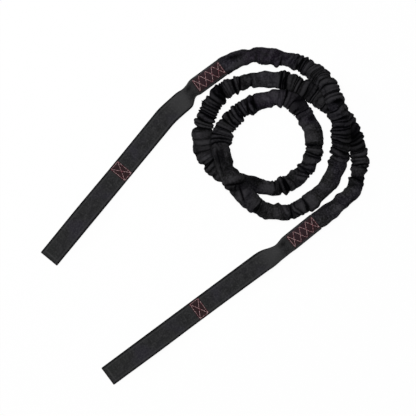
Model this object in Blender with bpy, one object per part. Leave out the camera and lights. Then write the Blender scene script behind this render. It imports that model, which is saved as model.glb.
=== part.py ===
"""Ankle resistance band: a latex tube in a gathered sleeve, with a looped webbing strap at each end.

Metres, +Z up. The band lies on the surface z = 0. End A is at the upper left, end B at the lower left.
"""
import bisect
import math

import bmesh
import bpy
import numpy as np
from mathutils import Matrix, Vector
from mathutils.bvhtree import BVHTree

# General clearances
CLEARANCE = 0.0003
EDGE_GAP = 0.0004

# Webbing
WEBBING_WIDTH = 0.0254
WEBBING_THICKNESS = 0.0015
STRAP_LENGTH = 0.272
SEWN_LENGTH = 0.037
TAIL_MARGIN = 0.0015
BOX_PLACE = 0.136
BOX_LENGTH = 0.012
BOX_WIDTH = 0.021
BOX_FLAT = 0.0075
LIFT_RUN = 0.030
FOLD_RADIUS = 0.0019
LOOP_RISE = 0.012
SEWN_CUP = math.radians(62.5)
NECK_CUP = math.radians(71.0)
NECK = 0.010
FLAT = 0.046
BULGE_START = 0.004
BULGE_PLACE = 0.019
TURN_START = 0.006
TURN_END = 0.034
FLAT_CUP = 0.01
NECK_STEP = 0.0045
FLAT_STEP = 0.0115
SEWN_STEP = 0.020
FOLD_STEPS = 6
ACROSS = 6

# Sewing thread
THREAD = 0.0008
CROSSES = 4
CROSS_WIDTH = 0.0155
THREAD_OVER = 0.0001
THREAD_LIFT = 0.0016
CROSS_STEPS = 4
DIAGONAL_STEPS = 2

# Latex tube
TUBE_DIAMETER = 0.0105
TUBE_WALL = 0.0026
TUBE_SIDES = 8
TUBE_BORE_SIDES = 6

# Sleeve: half widths of its smooth stretches and of the crests and troughs of its gathers
SLEEVE_SMOOTH = 0.0095
SLEEVE_CREST = 0.0105
SLEEVE_TROUGH = 0.0086
SLEEVE_WALL = 0.0012
SLEEVE_FLATNESS = 0.80
RIB_PITCH_TIGHT = 0.0060
RIB_PITCH_SMOOTH = 0.0115
RIB_UNEVENNESS = 0.18
RIB_BEAT = 2.4
BORE_STEP = 0.0115
TUBE_STOP = 0.002
FLARE = 0.010
SEWN_FILL_WIDE = 0.86
SEWN_FILL_HIGH = 0.90
LEAD_OUT = 0.0066
SLEEVE_SIDES = 8
STEPS_APART = 14

# Where each sewn end's mouth lies, which way its strap leaves, which way the strap then lies,
# how far the strap jogs sideways as it leaves, and how far its neck bulges to the right
ENDS = {
    "a": {"mouth": (0.021, 0.1776), "leaves": 216.2, "lies": 230.5, "jog": 0.0, "bulge": 0.0039},
    "b": {"mouth": (0.133, -0.007), "leaves": 218.8, "lies": 216.6, "jog": -0.0019, "bulge": 0.0020},
}

# The sleeve's route in millimetres, from mouth A to mouth B: x, y and height over the surface
ROUTE = [
    (21, 177.6, 1), (36.8, 186.4, 1), (47.4, 190, 0), (78, 191.4, 0), (109, 185, 0), (124, 178, 3),
    (138, 168, 10), (148, 155, 17), (155, 140, 18), (162, 113, 17.5), (163.5, 98, 14), (163, 83, 7),
    (161, 66.5, 1), (156, 51.5, 0), (149.3, 38.8, 0), (134, 23.3, 0), (103.3, 6, 0), (72, 8, 1),
    (58.7, 15.8, 7), (45.5, 28.5, 15), (35, 42, 17), (27, 57, 17), (22, 72, 13.5), (20.5, 88, 4),
    (25.5, 105.8, 0), (36.6, 119.5, 0), (66.5, 137, 0), (101, 139.5, 0), (113.3, 131.4, 0),
    (122.4, 119.3, 0), (133, 89.5, 0), (123.5, 58.7, 0), (96.6, 37.8, 0), (79.2, 33.4, 0),
    (63, 36.9, 0), (31, 48, 0), (3, 70, 0), (-1.5, 104, 0), (12, 136.3, 0), (22.7, 149.2, 0),
    (37.4, 157, 0), (72, 163.6, 0), (106.9, 159.8, 0), (136.4, 142.2, 0), (162.5, 124.4, 0),
    (181, 95, 0), (186.5, 65, 0), (179.6, 32.6, 0), (154.4, 8.6, 0), (133, -7, 0),
]

# How tightly the sleeve is gathered, 0 to 1, at distances in metres from mouth A
GATHERS = [
    (0.00, 0.05), (0.04, 0.10), (0.06, 0.45), (0.11, 0.45), (0.13, 1.00), (0.23, 0.95),
    (0.25, 0.25), (0.28, 0.25), (0.30, 0.55), (0.36, 0.50), (0.38, 0.10), (0.44, 0.15),
    (0.46, 0.95), (0.50, 0.90), (0.52, 0.30), (0.55, 0.85), (0.58, 0.80), (0.60, 0.20),
    (0.62, 0.25), (0.64, 0.80), (0.69, 0.65), (0.71, 0.15), (0.75, 0.20), (0.78, 0.60),
    (0.80, 1.00), (0.87, 1.00), (0.90, 0.25), (0.93, 0.25), (0.95, 1.00), (1.01, 0.95),
    (1.03, 0.35), (1.05, 1.00), (1.10, 0.90), (1.12, 0.15), (1.20, 0.05),
]


def smooth(t):
    """Ease from 0 to 1."""
    t = max(0.0, min(1.0, t))
    return t * t * (3.0 - 2.0 * t)


def along_keys(keys, x):
    """Eased value at x between (place, value) pairs in order."""
    if x <= keys[0][0]:
        return keys[0][1]
    for (x0, y0), (x1, y1) in zip(keys, keys[1:]):
        if x <= x1:
            return y0 + (y1 - y0) * smooth((x - x0) / (x1 - x0))
    return keys[-1][1]


def heading(degrees):
    a = math.radians(degrees)
    return Vector((math.cos(a), math.sin(a), 0.0))


def rounded(values):
    return [round(x, 6) for x in values]


def material(name, colour, roughness):
    m = bpy.data.materials.new(name)
    m.use_nodes = True
    shader = m.node_tree.nodes["Principled BSDF"]
    shader.inputs["Base Color"].default_value = (*colour, 1.0)
    shader.inputs["Roughness"].default_value = roughness
    shader.inputs["Metallic"].default_value = 0.0
    return m


# Webbing: cross-section, heights and plan

def sagitta(cup):
    """Height of the webbing's arch when its half width bends through the angle cup."""
    if cup < FLAT_CUP:
        return 0.0
    return WEBBING_WIDTH / 2 / cup * (1.0 - math.cos(cup))


def crown(cup):
    """Height of a cupped ply's middle over the sewn end's axis, its edges meeting the other ply's."""
    return sagitta(cup) + WEBBING_THICKNESS / 2 * math.cos(cup) + EDGE_GAP / 2


def cup_at(u):
    """How far a ply is cupped, u metres past the sewn end."""
    return along_keys([(0.0, SEWN_CUP), (NECK, NECK_CUP), (FLAT, 0.0)], u)


THREAD_SEAT = WEBBING_THICKNESS / 2 + CLEARANCE + THREAD / 2
AXIS_HEIGHT = crown(SEWN_CUP) + THREAD_SEAT + THREAD_OVER + THREAD / 2 + CLEARANCE
BOX_LOWER = THREAD_LIFT + WEBBING_THICKNESS / 2
BOX_UPPER = BOX_LOWER + WEBBING_THICKNESS + CLEARANCE
FLOOR_PLY = WEBBING_THICKNESS / 2


def lower_height(u):
    keys = [
        (0.0, AXIS_HEIGHT - crown(SEWN_CUP)),
        (NECK, AXIS_HEIGHT - crown(NECK_CUP)),
        (BOX_PLACE - BOX_FLAT, BOX_LOWER),
        (BOX_PLACE + BOX_FLAT, BOX_LOWER),
        (BOX_PLACE + LIFT_RUN, FLOOR_PLY),
    ]
    return along_keys(keys, u)


def upper_height(u):
    loop_middle = (BOX_PLACE + STRAP_LENGTH) / 2
    keys = [
        (0.0, AXIS_HEIGHT + crown(SEWN_CUP)),
        (NECK, AXIS_HEIGHT + crown(NECK_CUP)),
        (BOX_PLACE - BOX_FLAT, BOX_UPPER),
        (BOX_PLACE + BOX_FLAT, BOX_UPPER),
        (loop_middle, LOOP_RISE),
        (STRAP_LENGTH - FOLD_RADIUS, FLOOR_PLY + 2 * FOLD_RADIUS),
    ]
    return along_keys(keys, u)


def strap_station(end, u):
    """Plan point and direction of a strap's centre line, u metres past its sewn end."""
    leaves = math.radians(end["leaves"])
    turn = math.radians(end["lies"] - end["leaves"])
    place = Vector((*end["mouth"], 0.0)) + heading(end["leaves"]) * (SEWN_LENGTH + min(u, TURN_START))
    direction = leaves
    if u > TURN_START:
        bent = min(u, TURN_END) - TURN_START
        half_turn = turn * bent / (TURN_END - TURN_START) / 2
        chord = bent * (math.sin(half_turn) / half_turn)
        place += heading(math.degrees(leaves + half_turn)) * chord
        place += heading(end["lies"]) * max(0.0, u - TURN_END)
        direction += 2 * half_turn
    side = Vector((-math.sin(direction), math.cos(direction), 0.0))
    bulge = along_keys([(BULGE_START, 0.0), (BULGE_PLACE, end["bulge"]), (FLAT, 0.0)], u)
    return place + side * (end["jog"] * smooth(u / TURN_END) + bulge), direction


def on_webbing(end, u, v, height, upward, proud=0.0):
    """Point at u along and v across a ply whose middle is at the given height, proud of its centre."""
    place, direction = strap_station(end, u)
    side = Vector((-math.sin(direction), math.cos(direction), 0.0))
    cup = cup_at(u)
    if cup < FLAT_CUP:
        across = v
        drop = -proud
    else:
        radius = WEBBING_WIDTH / 2 / cup
        angle = v / radius
        across = (radius + proud) * math.sin(angle)
        drop = radius - (radius + proud) * math.cos(angle)
    sign = 1.0 if upward else -1.0
    return place + side * across + Vector((0.0, 0.0, height - sign * drop))


def ribbon(name, rows, finish):
    """A webbing solid from rows of points across it, given thickness both ways."""
    bm = bmesh.new()
    columns = len(rows[0])
    bmesh.ops.create_grid(bm, x_segments=columns - 1, y_segments=len(rows) - 1, size=1.0)
    bm.verts.ensure_lookup_table()
    order = sorted(bm.verts, key=lambda v: (round(v.co.y, 4), round(v.co.x, 4)))
    for vert, point in zip(order, [p for row in rows for p in row]):
        vert.co = point
    return finished(bm, name, finish, WEBBING_THICKNESS)


def finished(bm, name, finish, thickness=0.0):
    """An object from a bmesh, thickened by a Solidify modifier where a thickness is given."""
    bmesh.ops.recalc_face_normals(bm, faces=bm.faces)
    mesh = bpy.data.meshes.new(name)
    bm.to_mesh(mesh)
    bm.free()
    mesh.materials.append(finish)
    mesh.shade_smooth()
    mesh.set_sharp_from_angle(angle=math.radians(50))
    thing = bpy.data.objects.new(name, mesh)
    bpy.context.collection.objects.link(thing)
    if thickness:
        wall = thing.modifiers.new("thickness", "SOLIDIFY")
        wall.thickness = thickness
        wall.offset = 0.0
        wall.use_even_offset = True
    return thing


def across_points(end, u, height, upward):
    steps = [WEBBING_WIDTH * (k / ACROSS - 0.5) for k in range(ACROSS + 1)]
    return [on_webbing(end, u, v, height, upward) for v in steps]


def spaced(start, stop, step):
    """Even places from start to stop, no further apart than step."""
    count = max(1, math.ceil((stop - start) / step - 1e-6))
    return [start + (stop - start) * k / count for k in range(count + 1)]


def webbing_loops(end, name, finish):
    """Both loops in one strip: out along the lower ply, round the fold, back along the upper ply."""
    near = spaced(NECK + CLEARANCE / 2, FLAT, NECK_STEP)
    far = spaced(FLAT, STRAP_LENGTH - FOLD_RADIUS, FLAT_STEP)[1:]
    places = near + far
    rows = [across_points(end, u, lower_height(u), False) for u in places]
    centre = FLOOR_PLY + FOLD_RADIUS
    for k in range(1, FOLD_STEPS):
        a = math.pi * k / FOLD_STEPS
        u = STRAP_LENGTH - FOLD_RADIUS + FOLD_RADIUS * math.sin(a)
        rows.append(across_points(end, u, centre - FOLD_RADIUS * math.cos(a), True))
    rows += [across_points(end, u, upper_height(u), True) for u in reversed(places)]
    return ribbon(name, rows, finish)


def webbing_tail(end, name, upward, finish):
    """One sewn tail of the strip, cupped round the sleeve's end."""
    height = upper_height if upward else lower_height
    places = spaced(-SEWN_LENGTH - TAIL_MARGIN, 0.0, SEWN_STEP)
    places += spaced(0.0, NECK - CLEARANCE / 2, NECK_STEP)[1:]
    rows = [across_points(end, u, height(u), upward) for u in places]
    return ribbon(name, rows, finish)


# Stitching

def strand(name, points, closed, finish):
    """One strand of thread through points, as a mesh."""
    curve = bpy.data.curves.new(name, "CURVE")
    curve.dimensions = "3D"
    curve.bevel_depth = THREAD / 2
    curve.bevel_resolution = 1
    curve.use_fill_caps = True
    spline = curve.splines.new("POLY")
    spline.points.add(len(points) - 1)
    for target, point in zip(spline.points, points):
        target.co = (*point, 1.0)
    spline.use_cyclic_u = closed
    guide = bpy.data.objects.new(name + "_line", curve)
    mesh = bpy.data.meshes.new_from_object(guide)
    mesh.name = name
    mesh.materials.clear()
    mesh.materials.append(finish)
    bpy.data.objects.remove(guide)
    thing = bpy.data.objects.new(name, mesh)
    bpy.context.collection.objects.link(thing)
    return thing


def crossed(thing, other):
    """Join a crossing strand to the thread, as one solid."""
    other.hide_render = True
    other.display_type = "WIRE"
    union = thing.modifiers.new("crossing", "BOOLEAN")
    union.operation = "UNION"
    union.solver = "EXACT"
    union.object = other
    return thing


def stitched(end, corners, height, upward, lift, steps):
    """Points of a run of stitches between corners (u, v), on the face of a ply."""
    seat = THREAD_SEAT + lift
    points = []
    for (u0, v0), (u1, v1) in zip(corners, corners[1:]):
        for k in range(steps):
            u = u0 + (u1 - u0) * k / steps
            v = v0 + (v1 - v0) * k / steps
            points.append(on_webbing(end, u, v, height(u), upward, seat))
    u, v = corners[-1]
    points.append(on_webbing(end, u, v, height(u), upward, seat))
    return points


def crosses_thread(end, name, upward, finish):
    """Crosses in a row with a bar at each end: two zigzags, one over the other."""
    height = upper_height if upward else lower_height
    half = CROSS_WIDTH / 2
    pitch = SEWN_LENGTH / CROSSES
    first = [(-k * pitch, half if k % 2 else -half) for k in range(CROSSES + 1)]
    second = [(u, -v) for u, v in first]
    with_bars = [second[0]] + first + [second[-1]]
    base = strand(name, stitched(end, with_bars, height, upward, 0.0, CROSS_STEPS), False, finish)
    over = stitched(end, second, height, upward, THREAD_OVER, CROSS_STEPS)
    return crossed(base, strand(name + "_back_pass", over, False, finish))


def box_thread(end, name, upward, finish):
    """A box with a cross, which holds the two plies together halfway along the strap."""
    height = upper_height if upward else lower_height
    u0 = BOX_PLACE - BOX_LENGTH / 2
    u1 = BOX_PLACE + BOX_LENGTH / 2
    v = BOX_WIDTH / 2
    corners = [(u0, -v), (u1, -v), (u1, v), (u0, v)]
    frame = stitched(end, corners, height, upward, 0.0, 1)
    base = strand(name, frame, True, finish)
    for k in (0, 1):
        lift = THREAD_OVER * (k + 1)
        points = stitched(end, [corners[k], corners[k + 2]], height, upward, lift, DIAGONAL_STEPS)
        crossed(base, strand(f"{name}_diagonal_{k + 1}", points, False, finish))
    return base


# Sleeve and tube: one centre line from inside sewn end A to inside sewn end B

def gathered(distance):
    return along_keys(GATHERS, distance)


def crest_half_width(distance):
    return SLEEVE_SMOOTH + (SLEEVE_CREST - SLEEVE_SMOOTH) * gathered(distance)


def through_points(points, steps=14):
    """Smooth curve through points, bending as evenly as a rod would, in many short steps."""
    p = np.array([tuple(q) for q in points])
    t = np.concatenate([[0.0], np.cumsum(np.linalg.norm(np.diff(p, axis=0), axis=1))])
    h = np.diff(t)[:, None]
    slopes = np.diff(p, axis=0) / h
    count = len(p)
    system = np.eye(count)
    right = np.zeros_like(p)
    for k in range(1, count - 1):
        before = h[k - 1, 0]
        after = h[k, 0]
        system[k, k - 1:k + 2] = before, 2 * (before + after), after
        right[k] = 6 * (slopes[k] - slopes[k - 1])
    bend = np.linalg.solve(system, right)
    line = []
    for k in range(count - 1):
        span = h[k, 0]
        for a in np.arange(steps) / steps:
            b = 1.0 - a
            curved = ((b ** 3 - b) * bend[k] + (a ** 3 - a) * bend[k + 1]) * span * span / 6
            line.append(Vector(b * p[k] + a * p[k + 1] + curved))
    line.append(points[-1].copy())
    return line


def running_lengths(points):
    """Running length at each point."""
    lengths = [0.0]
    for a, b in zip(points, points[1:]):
        lengths.append(lengths[-1] + (b - a).length)
    return lengths


def axis_point(end, u):
    return strap_station(end, u)[0] + Vector((0.0, 0.0, AXIS_HEIGHT))


def route_points():
    """The route's points between the mouths: where a mouth moves, the route beside it moves too."""
    route = [Vector(point) / 1000 for point in ROUTE]
    start, stop = route[0].xy, route[-1].xy
    move_a = Vector(ENDS["a"]["mouth"]) - start
    move_b = Vector(ENDS["b"]["mouth"]) - stop
    for point in route:
        share = max(0.0, min(1.0, (start.y - point.y) / (start.y - stop.y)))
        point.xy += move_a.lerp(move_b, share)
    return route[1:-1]


class CentreLine:
    """The line that the sleeve and the tube follow, with places read by length along it."""

    def __init__(self):
        a = ENDS["a"]
        b = ENDS["b"]
        straight = [-u for u in spaced(TUBE_STOP, SEWN_LENGTH, SEWN_LENGTH / 3)]
        straight.append(-SEWN_LENGTH - LEAD_OUT)
        held = Vector((0.0, 0.0, crest_half_width(0.0) * SLEEVE_FLATNESS))
        into_a = [axis_point(a, u) - held for u in straight]
        into_b = [axis_point(b, u) - held for u in reversed(straight)]
        self.mouth = SEWN_LENGTH - TUBE_STOP
        self.points = through_points(into_a + route_points() + into_b)
        for p, s in zip(self.points, running_lengths(self.points)):
            p.z = max(0.0, p.z) + crest_half_width(s - self.mouth) * SLEEVE_FLATNESS
        self.lengths = running_lengths(self.points)
        self.total = self.lengths[-1]
        self.free = self.total - 2 * self.mouth

    def at(self, s):
        """Centre, tangent, side and up at a length s from the start."""
        s = max(0.0, min(self.total, s))
        k = min(len(self.points) - 2, max(0, bisect.bisect_right(self.lengths, s) - 1))
        span = self.lengths[k + 1] - self.lengths[k]
        point = self.points[k].lerp(self.points[k + 1], (s - self.lengths[k]) / span)
        before = self.points[max(0, k - 2)]
        after = self.points[min(len(self.points) - 1, k + 3)]
        tangent = (after - before).normalized()
        side = Vector((0.0, 0.0, 1.0)).cross(tangent).normalized()
        return point, tangent, side, tangent.cross(side)

    def ring(self, s, half_width, half_height, beyond=0.0):
        """Matrix that takes a unit ring to the section at s, moved beyond along the tangent."""
        point, tangent, side, up = self.at(s)
        m = Matrix.Identity(4)
        m.col[0] = (*(side * half_width), 0.0)
        m.col[1] = (*(up * half_height), 0.0)
        m.col[2] = (*tangent, 0.0)
        m.col[3] = (*(point + tangent * beyond), 1.0)
        return m


def tube_body(rings, sides):
    """Closed bmesh tube through ring matrices, extruded from one ring to the next."""
    bm = bmesh.new()
    flat_down = Matrix.Rotation(math.pi / sides, 4, "Z")
    bmesh.ops.create_circle(bm, segments=sides, radius=1.0 / math.cos(math.pi / sides))
    bmesh.ops.transform(bm, matrix=rings[0] @ flat_down, verts=bm.verts[:])
    edges = bm.edges[:]
    for before, after in zip(rings, rings[1:]):
        grown = bmesh.ops.extrude_edge_only(bm, edges=edges)["geom"]
        verts = [g for g in grown if isinstance(g, bmesh.types.BMVert)]
        edges = [g for g in grown if isinstance(g, bmesh.types.BMEdge)]
        edges = [e for e in edges if e.verts[0] in verts and e.verts[1] in verts]
        bmesh.ops.transform(bm, matrix=after @ before.inverted(), verts=verts)
    bmesh.ops.holes_fill(bm, edges=[e for e in bm.edges if e.is_boundary], sides=sides)
    return bm


def cut_out(thing, cutter):
    """Take the cutter out of the thing, and keep the cutter as a hidden guide."""
    cutter.hide_render = True
    cutter.display_type = "WIRE"
    cut = thing.modifiers.new("bore", "BOOLEAN")
    cut.operation = "DIFFERENCE"
    cut.solver = "EXACT"
    cut.object = cutter


def sewn_sizes():
    """Half width and half height of the sleeve's end between the cupped tails."""
    radius = WEBBING_WIDTH / 2 / SEWN_CUP
    inner = radius * math.cos(SEWN_CUP / ACROSS) - WEBBING_THICKNESS / 2 - CLEARANCE
    below = radius - crown(SEWN_CUP)
    half_height = (inner - below) * SEWN_FILL_HIGH
    half_width = math.sqrt(inner * inner - below * below) * SEWN_FILL_WIDE
    return half_width, half_height


def plain_places(line):
    """Places of the rings of the bore and of the latex tube."""
    ends = [0.0, line.mouth / 2, line.mouth + TAIL_MARGIN, line.mouth + TAIL_MARGIN + FLARE]
    middle = spaced(ends[-1], line.total - ends[-1], BORE_STEP)[1:-1]
    return ends + middle + [line.total - s for s in reversed(ends)]


def blended(line, s, sewn, free):
    """A size that is sewn inside the ends and free between them."""
    nearest = min(s, line.total - s)
    return sewn + (free - sewn) * smooth((nearest - line.mouth - TAIL_MARGIN) / FLARE)


def tube_sizes():
    """Half sizes of the latex tube: at its sewn ends and along its free length."""
    width, height = sewn_sizes()
    inset = SLEEVE_WALL + CLEARANCE
    return (width - inset, height - inset), (TUBE_DIAMETER / 2, TUBE_DIAMETER / 2)


def plain_rings(line, sewn, free):
    """Ring matrices of a plain tube along the line."""
    rings = []
    for s in plain_places(line):
        width = blended(line, s, sewn[0], free[0])
        height = blended(line, s, sewn[1], free[1])
        rings.append(line.ring(s, width, height))
    return rings


def run_through(line, rings, sewn):
    """Lengthen a cutter's rings past both ends, so that it opens them."""
    first = line.ring(0.0, *sewn, beyond=-SLEEVE_WALL)
    last = line.ring(line.total, *sewn, beyond=SLEEVE_WALL)
    return [first] + rings + [last]


def rib_rings(line):
    """Ring matrices of the sleeve's outside: a crest and a trough for each gather."""
    sewn_width, sewn_height = sewn_sizes()
    rings = [line.ring(s, sewn_width, sewn_height) for s in (0.0, line.mouth / 2, line.mouth + TAIL_MARGIN)]
    clear_of_end = line.mouth + TAIL_MARGIN + FLARE / 2
    s = clear_of_end
    ribs = 0
    while s < line.total - clear_of_end:
        tight = gathered(s - line.mouth)
        pitch = RIB_PITCH_SMOOTH + (RIB_PITCH_TIGHT - RIB_PITCH_SMOOTH) * tight
        uneven = 1.0 - RIB_UNEVENNESS * (1.0 - math.sin(ribs * RIB_BEAT))
        crest = SLEEVE_SMOOTH + (SLEEVE_CREST - SLEEVE_SMOOTH) * tight * uneven
        trough = SLEEVE_SMOOTH + (SLEEVE_TROUGH - SLEEVE_SMOOTH) * tight
        for place, half in ((s, crest), (s + pitch / 2, trough)):
            width = blended(line, place, sewn_width, half)
            height = blended(line, place, sewn_height, half * SLEEVE_FLATNESS)
            rings.append(line.ring(place, width, height))
        ribs += 1
        s += pitch
    for back in (line.mouth + TAIL_MARGIN, line.mouth / 2, 0.0):
        rings.append(line.ring(line.total - back, sewn_width, sewn_height))
    return rings, ribs


def least_gap(rings, sides):
    """Least distance between stretches of the sleeve that lie apart along it, and where that is."""
    turn = math.pi / sides
    corners = [Vector((math.cos(a), math.sin(a), 0.0)) / math.cos(turn)
               for a in (turn * (2 * k + 1) for k in range(sides))]
    loops = [[m @ c for c in corners] for m in rings]
    least = (1.0, None)
    for k in range(0, len(loops) - STEPS_APART - 1, 2):
        rest = loops[k + STEPS_APART:]
        verts = [v for loop in rest for v in loop]
        faces = []
        for base in range(0, len(verts) - sides, sides):
            for i in range(sides):
                n = (i + 1) % sides
                faces.append((base + i, base + n, base + sides + n, base + sides + i))
        tree = BVHTree.FromPolygons(verts, faces)
        samples = loops[k] + loops[k + 1]
        samples += [(a + b) / 2 for a, b in zip(loops[k], loops[k + 1])]
        samples += [(a + b) / 2 for a, b in zip(loops[k], loops[k][1:])]
        for p in samples:
            distance = tree.find_nearest(p)[3]
            if distance < least[0]:
                least = (distance, p)
    return least


def build():
    for thing in list(bpy.data.objects):
        bpy.data.objects.remove(thing, do_unlink=True)

    webbing = material("black webbing", (0.022, 0.022, 0.024), 0.75)
    fabric = material("black sleeve fabric", (0.015, 0.015, 0.019), 0.85)
    latex = material("amber latex", (0.55, 0.36, 0.15), 0.45)
    red = material("red thread", (0.42, 0.07, 0.09), 0.6)

    line = CentreLine()
    sewn = sewn_sizes()
    tube_sewn, tube_free = tube_sizes()
    bore_sewn = (sewn[0] - SLEEVE_WALL, sewn[1] - SLEEVE_WALL)
    bore_free = (SLEEVE_TROUGH - SLEEVE_WALL, SLEEVE_TROUGH * SLEEVE_FLATNESS - SLEEVE_WALL)

    outside, ribs = rib_rings(line)
    sleeve = finished(tube_body(outside, SLEEVE_SIDES), "sleeve", fabric)
    bore_rings = run_through(line, plain_rings(line, bore_sewn, bore_free), bore_sewn)
    cut_out(sleeve, finished(tube_body(bore_rings, SLEEVE_SIDES), "sleeve_bore_guide", fabric))

    tube = finished(tube_body(plain_rings(line, tube_sewn, tube_free), TUBE_SIDES), "latex_tube", latex)
    hole_sewn = (tube_sewn[0] - TUBE_WALL, tube_sewn[1] - TUBE_WALL)
    hole_free = (tube_free[0] - TUBE_WALL, tube_free[1] - TUBE_WALL)
    hole_rings = run_through(line, plain_rings(line, hole_sewn, hole_free), hole_sewn)
    cut_out(tube, finished(tube_body(hole_rings, TUBE_BORE_SIDES), "tube_bore_guide", latex))

    for letter, end in ENDS.items():
        slide = bpy.data.objects.new("stretch_" + letter + "_axis", None)
        slide.location = axis_point(end, -SEWN_LENGTH)
        hinge = bpy.data.objects.new("fold_" + letter + "_axis", None)
        top = upper_height(NECK) + WEBBING_THICKNESS / 2
        hinge.location = strap_station(end, NECK)[0] + Vector((0.0, 0.0, top))
        hinge.parent = slide
        hinge.matrix_parent_inverse = Matrix.Translation(-slide.location)
        for axis in (slide, hinge):
            axis.empty_display_size = 0.01
            bpy.context.collection.objects.link(axis)
        sewn_pieces = [
            webbing_tail(end, "upper_tail_" + letter, True, webbing),
            webbing_tail(end, "lower_tail_" + letter, False, webbing),
            crosses_thread(end, "crosses_needle_thread_" + letter, True, red),
            crosses_thread(end, "crosses_bobbin_thread_" + letter, False, red),
        ]
        loop_pieces = [
            webbing_loops(end, "webbing_loops_" + letter, webbing),
            box_thread(end, "box_needle_thread_" + letter, True, red),
            box_thread(end, "box_bobbin_thread_" + letter, False, red),
        ]
        for axis, pieces in ((slide, sewn_pieces), (hinge, loop_pieces)):
            for piece in pieces:
                piece.parent = axis
                piece.matrix_parent_inverse = Matrix.Translation(-axis.location)
        outward = strap_station(end, NECK)[1]
        print("end", letter, "slides along", rounded(heading(end["leaves"])))
        fold_axis = (math.sin(outward), -math.cos(outward), 0.0)
        print("end", letter, "folds at", rounded(hinge.location), "about", rounded(fold_axis))

    gap, where = least_gap(outside, SLEEVE_SIDES)
    print("sleeve runs", round(line.free, 4), "m between the sewn ends, in", ribs, "gathers")
    print("least gap of the sleeve to itself", round(gap * 1000, 2), "mm at", rounded(where))


build()
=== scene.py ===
"""Looks of the ankle resistance band: gathered sleeve, webbing straps, red stitching and latex tube.

Metres, +Z up. The band lies on the surface z = 0, seen from straight above.
"""
import math

import bmesh
import bpy
import numpy as np
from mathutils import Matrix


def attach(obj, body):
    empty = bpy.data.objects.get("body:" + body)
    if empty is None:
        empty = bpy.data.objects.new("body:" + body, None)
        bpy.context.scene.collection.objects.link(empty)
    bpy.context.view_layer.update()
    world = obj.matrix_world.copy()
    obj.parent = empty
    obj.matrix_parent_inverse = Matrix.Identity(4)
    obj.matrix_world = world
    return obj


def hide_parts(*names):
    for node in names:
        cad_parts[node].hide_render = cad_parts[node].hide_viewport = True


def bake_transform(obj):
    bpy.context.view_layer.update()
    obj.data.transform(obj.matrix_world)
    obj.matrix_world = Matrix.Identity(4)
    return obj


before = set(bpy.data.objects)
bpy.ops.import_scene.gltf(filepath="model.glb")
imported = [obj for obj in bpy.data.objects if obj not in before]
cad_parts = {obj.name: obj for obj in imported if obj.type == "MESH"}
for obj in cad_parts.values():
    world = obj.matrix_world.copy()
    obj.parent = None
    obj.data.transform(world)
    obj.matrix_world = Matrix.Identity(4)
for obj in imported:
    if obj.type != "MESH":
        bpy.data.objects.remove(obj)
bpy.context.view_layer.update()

# The picture: half a metre of floor across the square frame, from straight above
VIEW_WIDTH = 0.4992
VIEW_CENTRE = (0.0050, 0.0101)
CAMERA_HEIGHT = 2.4
CAMERA_REACH = 50.0
SENSOR = 36.0

# Light and floor; each lamp has its name, place, size and power
LAMPS = [("overhead", (-0.20, 0.30, 2.2), 0.8, 46.0), ("side", (-1.4, 0.7, 1.1), 0.5, 5.0)]
SKY_LIGHT = 0.14
WHITE = (1.0, 1.0, 1.0, 1.0)
FLOOR_COLOUR = (0.85, 0.85, 0.85, 1.0)
FLOOR_GLOW = 0.94
FLOOR_REACH = 12.0
FLOOR_DROP = 0.0002

# Webbing straps
WEBBING_WIDTH = 0.0254
WEBBING_THICKNESS = 0.0015
HALF_PLY = WEBBING_THICKNESS / 2
STRAP_LENGTH = 0.272
SEWN_LENGTH = 0.037
TAIL_MARGIN = 0.0015
BOX_PLACE = 0.136
BOX_LENGTH = 0.012
BOX_WIDTH = 0.021
BOX_FLAT = 0.0075
LIFT_RUN = 0.030
FOLD_RADIUS = 0.0019
LOOP_RISE = 0.012
SEWN_CUP = math.radians(58.5)
NECK_CUP = math.radians(71.0)
LEAST_CUP = 1e-4
NECK = 0.010
BULGE_START = 0.004
BULGE_PLACE = 0.019
TURN_START = 0.006
TURN_END = 0.034
EDGE_GAP = 0.0004
CLEARANCE = 0.0003
SEWN_OFF_FLOOR = 0.0001
STRAP_OFF_FLOOR = 0.00002
PLY_LIFT = 0.0016
FOLD_START = 0.001
FOLD_END = 0.030
PLY_ACROSS = 26
EDGE_ROUND = 4
STRIP_STEP = 0.0014
STRIP_RUN = STRAP_LENGTH - FOLD_RADIUS + SEWN_LENGTH + TAIL_MARGIN
STRIP_LENGTH = 2 * STRIP_RUN + math.pi * FOLD_RADIUS
BOX_LOWER = PLY_LIFT + HALF_PLY
BOX_UPPER = BOX_LOWER + WEBBING_THICKNESS + CLEARANCE

# The webbing's weave, and its painted light and shade: where painted shade darkens its edges (in
# shares of half the width) and its bend, the place and width of the painted highlight lines beside
# them, and where the opened ply turns pale with painted highlight and back
RIB_PITCH = 0.00105
WARP_PITCH = 0.0008
EDGE_DARK = (0.83, 0.92)
BEND_DARK = (0.45, 0.85)
BORDER = (0.74, 0.05)
BORDER_STOP = 0.80
END_LINE = (STRAP_LENGTH - 0.0045, 0.0008)
TURNS_PALE = (0.013, 0.021)
TURNS_BACK = (0.030, 0.048)

# A small pinch by each neck, with painted shade in it: its place and reach past the sewn end and
# across, its depth, and how much painted shade it gets
PINCH_ALONG = (0.0095, 0.0036)
PINCH_ACROSS = (-0.0037, 0.0026)
PINCH_DEPTH = 0.0007
PINCH_DARK = 0.85

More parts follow.
